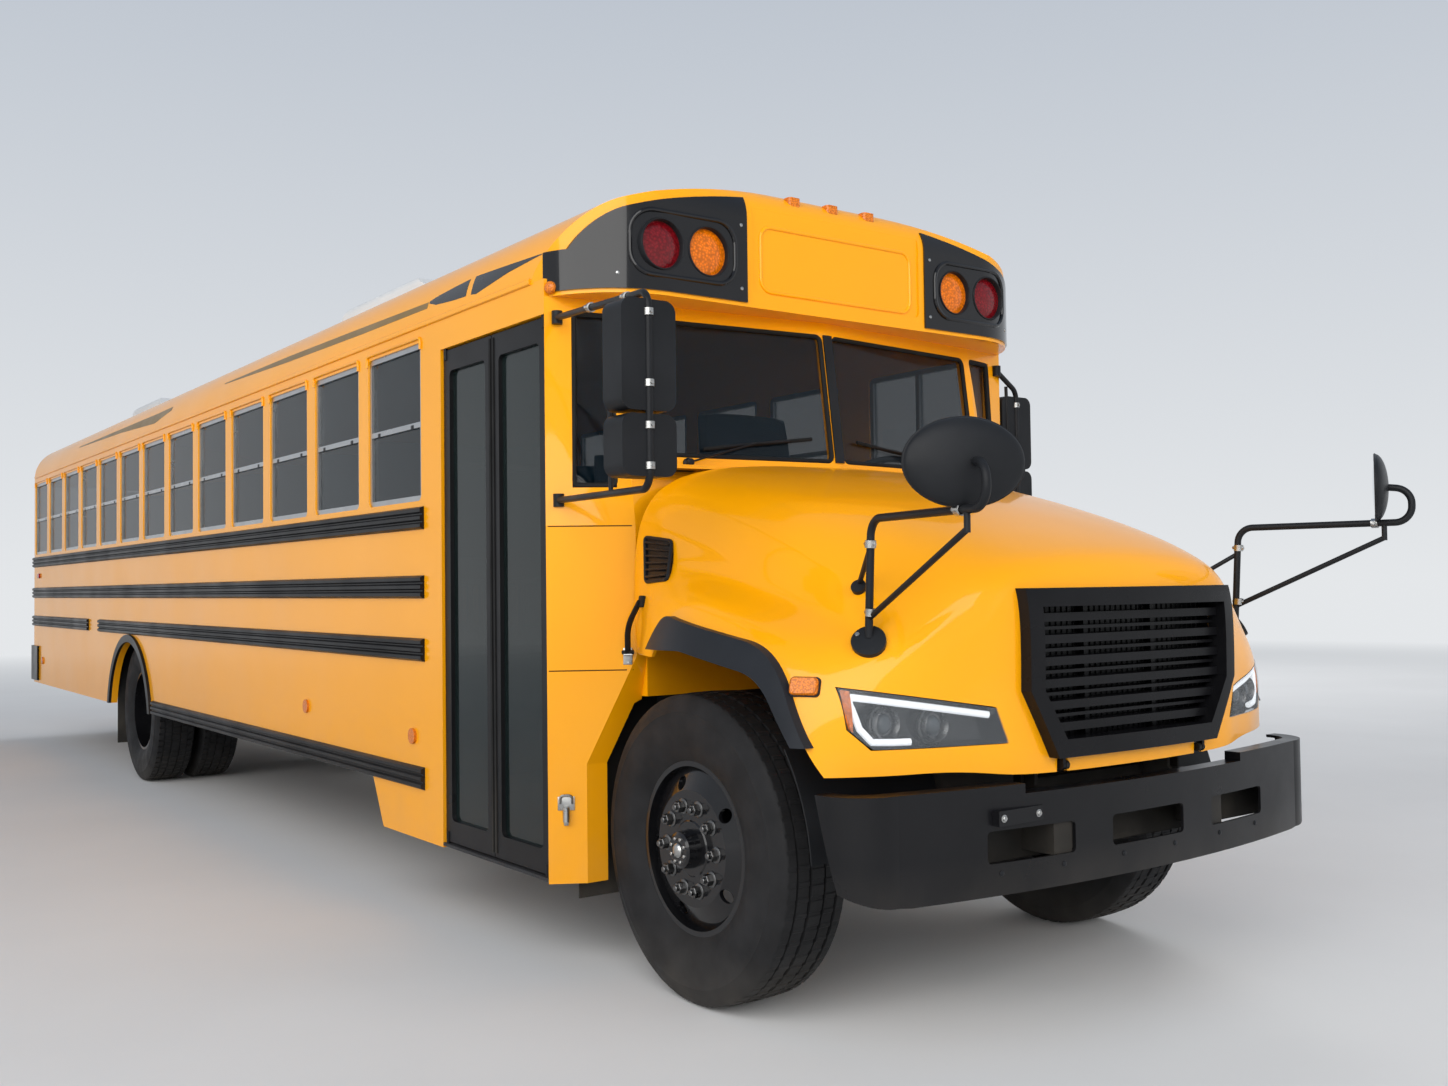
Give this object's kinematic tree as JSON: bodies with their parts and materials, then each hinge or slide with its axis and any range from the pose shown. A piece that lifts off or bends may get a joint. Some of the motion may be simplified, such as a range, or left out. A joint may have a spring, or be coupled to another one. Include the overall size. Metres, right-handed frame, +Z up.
{
  "type": "school bus",
  "caption": "Long yellow bus with a hood ahead of the cab, folding entrance doors, a rear emergency door, guard rails, mirrors on arms, steered front wheels and twin rear wheels.",
  "frame": {"origin": "on the ground, below the middle of the overall length and width", "axes": "+X forward, +Y to the left side, +Z up"},
  "size_m": [12.5199, 2.89, 3.2197],
  "materials": {
    "frame_black": "satin black chassis paint",
    "axle_iron": "dark cast iron under black paint",
    "wheel_black": "gloss black wheel paint",
    "tyre": "black road rubber",
    "steel": "bare and heat-stained steel",
    "engine_grey": "grey iron",
    "radiator_alloy": "matt aluminium fins",
    "rubber_black": "matt black rubber",
    "floor_rubber": "ribbed black floor covering",
    "bumper_black": "satin black paint",
    "bus_yellow": "glossy yellow-orange coach paint",
    "gloss_black": "gloss black paint",
    "rail_black": "satin black paint on ribbed rails",
    "lamp_warning": "amber and red ribbed lens",
    "lamp_amber": "amber lens",
    "headlamp": "clear lens over a dark bowl with white light bars",
    "glass_tint": "tinted safety glass",
    "window_alloy": "dark anodised and bare aluminium",
    "door_black": "satin black door frame",
    "grille_black": "semi-gloss black plastic",
    "trim_plastic": "grained black plastic",
    "sign_red": "red sign face, blank",
    "seat_vinyl": "dark blue-grey seat vinyl",
    "seat_steel": "black powder coat",
    "dash_plastic": "dark grey plastic",
    "unit_white": "white moulded cover"
  },
  "bodies": {
    "bus_body": {"chassis_frame": "frame_black", "front_axle": "axle_iron", "rear_axle": "axle_iron", "driveshaft": "steel", "engine_block": "engine_grey", "radiator": "radiator_alloy", "exhaust": "steel", "fuel_tank": "frame_black", "mud_flaps": "rubber_black", "front_bumper": "bumper_black", "rear_bumper": "bumper_black", "floor": "floor_rubber", "step_well": "floor_rubber", "side_wall_left": "bus_yellow", "side_wall_right": "bus_yellow", "rear_wall": "bus_yellow", "roof": "bus_yellow", "roof_cap": "bus_yellow", "lamp_housings": "gloss_black", "warning_lamps": "lamp_warning", "marker_lamps": "lamp_amber", "front_cowl": "bus_yellow", "window_glass": "glass_tint", "window_frames": "window_alloy", "side_trim": "rail_black", "stop_bracket": "door_black", "side_mirrors": "trim_plastic", "seats": "seat_vinyl", "seat_frames": "seat_steel", "dashboard": "dash_plastic", "roof_units": "unit_white"},
    "hood": {"hood": "bus_yellow", "grille": "grille_black", "headlamps": "headlamp", "fender_flares": "trim_plastic", "crossover_mirrors": "trim_plastic"},
    "knuckle_left": {"knuckle_left": "axle_iron"},
    "knuckle_right": {"knuckle_right": "axle_iron"},
    "front_left_wheel": {"wheel_front_left": "wheel_black", "tyre_front_left": "tyre"},
    "front_right_wheel": {"wheel_front_right": "wheel_black", "tyre_front_right": "tyre"},
    "rear_left_wheels": {"wheels_rear_left": "wheel_black", "tyres_rear_left": "tyre"},
    "rear_right_wheels": {"wheels_rear_right": "wheel_black", "tyres_rear_right": "tyre"},
    "entrance_rear_leaf": {"entrance_leaf_rear": "door_black", "entrance_glass_rear": "glass_tint"},
    "entrance_front_leaf": {"entrance_leaf_front": "door_black", "entrance_glass_front": "glass_tint"},
    "rear_emergency_door": {"emergency_door": "bus_yellow", "emergency_glass": "glass_tint"},
    "stop_sign": {"stop_arm": "sign_red"}
  },
  "joints": [
    {"name": "hood_tilt", "type": "hinge", "parent": "bus_body", "child": "hood", "pos_m": [5.876, 0, 0.846], "axis": [0, 1, 0], "range_deg": [0, 65]},
    {"name": "steer_left", "type": "hinge", "parent": "bus_body", "child": "knuckle_left", "pos_m": [4.84, 0.78, 0.522], "axis": [0, 0, 1], "range_deg": [-35, 35]},
    {"name": "steer_right", "type": "hinge", "parent": "bus_body", "child": "knuckle_right", "pos_m": [4.84, -0.78, 0.522], "axis": [0, 0, 1], "range_deg": [-35, 35]},
    {"name": "spin_front_left", "type": "hinge", "parent": "knuckle_left", "child": "front_left_wheel", "pos_m": [4.84, 0.888, 0.522], "axis": [0, 1, 0], "continuous": true},
    {"name": "spin_front_right", "type": "hinge", "parent": "knuckle_right", "child": "front_right_wheel", "pos_m": [4.84, -0.888, 0.522], "axis": [0, 1, 0], "continuous": true},
    {"name": "spin_rear_left", "type": "hinge", "parent": "bus_body", "child": "rear_left_wheels", "pos_m": [-2.17, 0.85, 0.522], "axis": [0, 1, 0], "continuous": true},
    {"name": "spin_rear_right", "type": "hinge", "parent": "bus_body", "child": "rear_right_wheels", "pos_m": [-2.17, -0.85, 0.522], "axis": [0, 1, 0], "continuous": true},
    {"name": "entrance_rear_leaf_swing", "type": "hinge", "parent": "bus_body", "child": "entrance_rear_leaf", "pos_m": [3.366, -1.207, 1.38], "axis": [0, 0, -1], "range_deg": [0, 90]},
    {"name": "entrance_front_leaf_swing", "type": "hinge", "parent": "bus_body", "child": "entrance_front_leaf", "pos_m": [4.214, -1.207, 1.38], "axis": [0, 0, 1], "range_deg": [0, 90]},
    {"name": "emergency_door_swing", "type": "hinge", "parent": "bus_body", "child": "rear_emergency_door", "pos_m": [-6.118, -0.434, 1.785], "axis": [0, 0, 1], "range_deg": [0, 100]},
    {"name": "stop_sign_swing", "type": "hinge", "parent": "bus_body", "child": "stop_sign", "pos_m": [3.94, 1.271, 1.45], "axis": [0, 0, -1], "range_deg": [0, 90]}
  ],
  "couplings": [
    {"joint": "steer_right", "follows": "steer_left", "ratio": 1},
    {"joint": "entrance_front_leaf_swing", "follows": "entrance_rear_leaf_swing", "ratio": 1}
  ]
}
